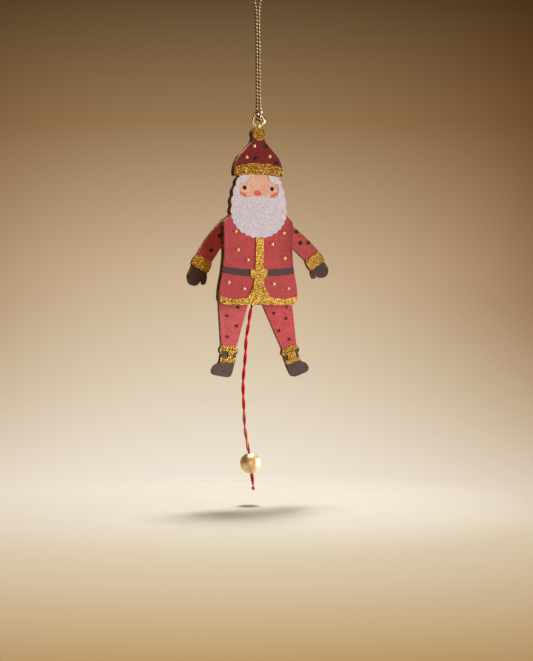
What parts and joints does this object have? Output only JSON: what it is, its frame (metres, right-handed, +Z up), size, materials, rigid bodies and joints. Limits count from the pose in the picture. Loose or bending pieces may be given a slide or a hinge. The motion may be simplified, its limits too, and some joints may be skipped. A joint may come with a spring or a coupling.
{
  "type": "pull string jumping jack",
  "caption": "Flat wooden jumping jack figure in a winter coat and hat, hung on a cord; a pull on its beaded string swings the pinned arms and legs outward.",
  "frame": {"origin": "hanging point, at the inside top of the hanging cord's loop", "axes": "+Z up along the hanging cord, -Y out of the printed front, +X to the viewer's right"},
  "size_m": [0.0935, 0.0175, 0.3098],
  "materials": {
    "board_wood": "satin, laser-browned edges",
    "printed_paper": "matt print",
    "gold_glitter": "glitter",
    "white_glitter": "glitter",
    "dark_print": "glitter",
    "pin_brass": "polished",
    "eye_brass": "polished",
    "gold_cord": "metallic thread",
    "red_string": "matt",
    "bead_gold": "satin gold paint"
  },
  "bodies": {
    "figure": {"body_board": "board_wood", "body_face_sheet": "printed_paper", "hat_band": "gold_glitter", "pompom": "gold_glitter", "beard": "white_glitter", "coat_trim": "gold_glitter", "coat_dots": "gold_glitter", "hat_gold_dots": "gold_glitter", "hat_dark_dots": "dark_print", "left_shoulder_pin": "pin_brass", "right_shoulder_pin": "pin_brass", "left_hip_pin": "pin_brass", "right_hip_pin": "pin_brass", "left_shoulder_washer": "board_wood", "right_shoulder_washer": "board_wood", "left_hip_washer": "board_wood", "right_hip_washer": "board_wood", "screw_eye": "eye_brass", "hang_hitch": "gold_cord", "hang_cord": "gold_cord"},
    "left_arm": {"left_arm_board": "board_wood", "left_arm_face_sheet": "printed_paper", "left_arm_cuff": "gold_glitter", "left_arm_dots": "dark_print"},
    "right_arm": {"right_arm_board": "board_wood", "right_arm_face_sheet": "printed_paper", "right_arm_cuff": "gold_glitter", "right_arm_dots": "dark_print"},
    "left_leg": {"left_leg_board": "board_wood", "left_leg_face_sheet": "printed_paper", "left_boot_trim": "gold_glitter", "left_leg_dots": "dark_print"},
    "right_leg": {"right_leg_board": "board_wood", "right_leg_face_sheet": "printed_paper", "right_boot_trim": "gold_glitter", "right_leg_dots": "dark_print"},
    "pull": {"arm_tie_string": "red_string", "arm_tie_knot": "red_string", "arm_tie_stoppers": "red_string", "arm_strand": "red_string", "leg_tie_string": "red_string", "leg_tie_knot": "red_string", "leg_tie_stoppers": "red_string", "pull_cord": "red_string", "bead": "bead_gold", "end_knot": "red_string"}
  },
  "joints": [
    {"name": "pull_string", "type": "slide", "parent": "figure", "child": "pull", "axis": [0, 0, -1], "range_m": [0, 0.008]},
    {"name": "left_arm_swing", "type": "hinge", "parent": "figure", "child": "left_arm", "pos_m": [-0.0165, 0.005, -0.14852], "axis": [0, 1, 0], "range_deg": [0, 67.5]},
    {"name": "right_arm_swing", "type": "hinge", "parent": "figure", "child": "right_arm", "pos_m": [0.0165, 0.005, -0.14852], "axis": [0, -1, 0], "range_deg": [0, 67.5]},
    {"name": "left_leg_swing", "type": "hinge", "parent": "figure", "child": "left_leg", "pos_m": [-0.0134, 0.005, -0.18202], "axis": [0, 1, 0], "range_deg": [0, 51.55]},
    {"name": "right_leg_swing", "type": "hinge", "parent": "figure", "child": "right_leg", "pos_m": [0.0134, 0.005, -0.18202], "axis": [0, -1, 0], "range_deg": [0, 51.55]}
  ],
  "couplings": [
    {"joint": "left_arm_swing", "follows": "pull_string", "rad_per_m": 147.25},
    {"joint": "right_arm_swing", "follows": "pull_string", "rad_per_m": 147.25},
    {"joint": "left_leg_swing", "follows": "pull_string", "rad_per_m": 112.45},
    {"joint": "right_leg_swing", "follows": "pull_string", "rad_per_m": 112.45}
  ]
}
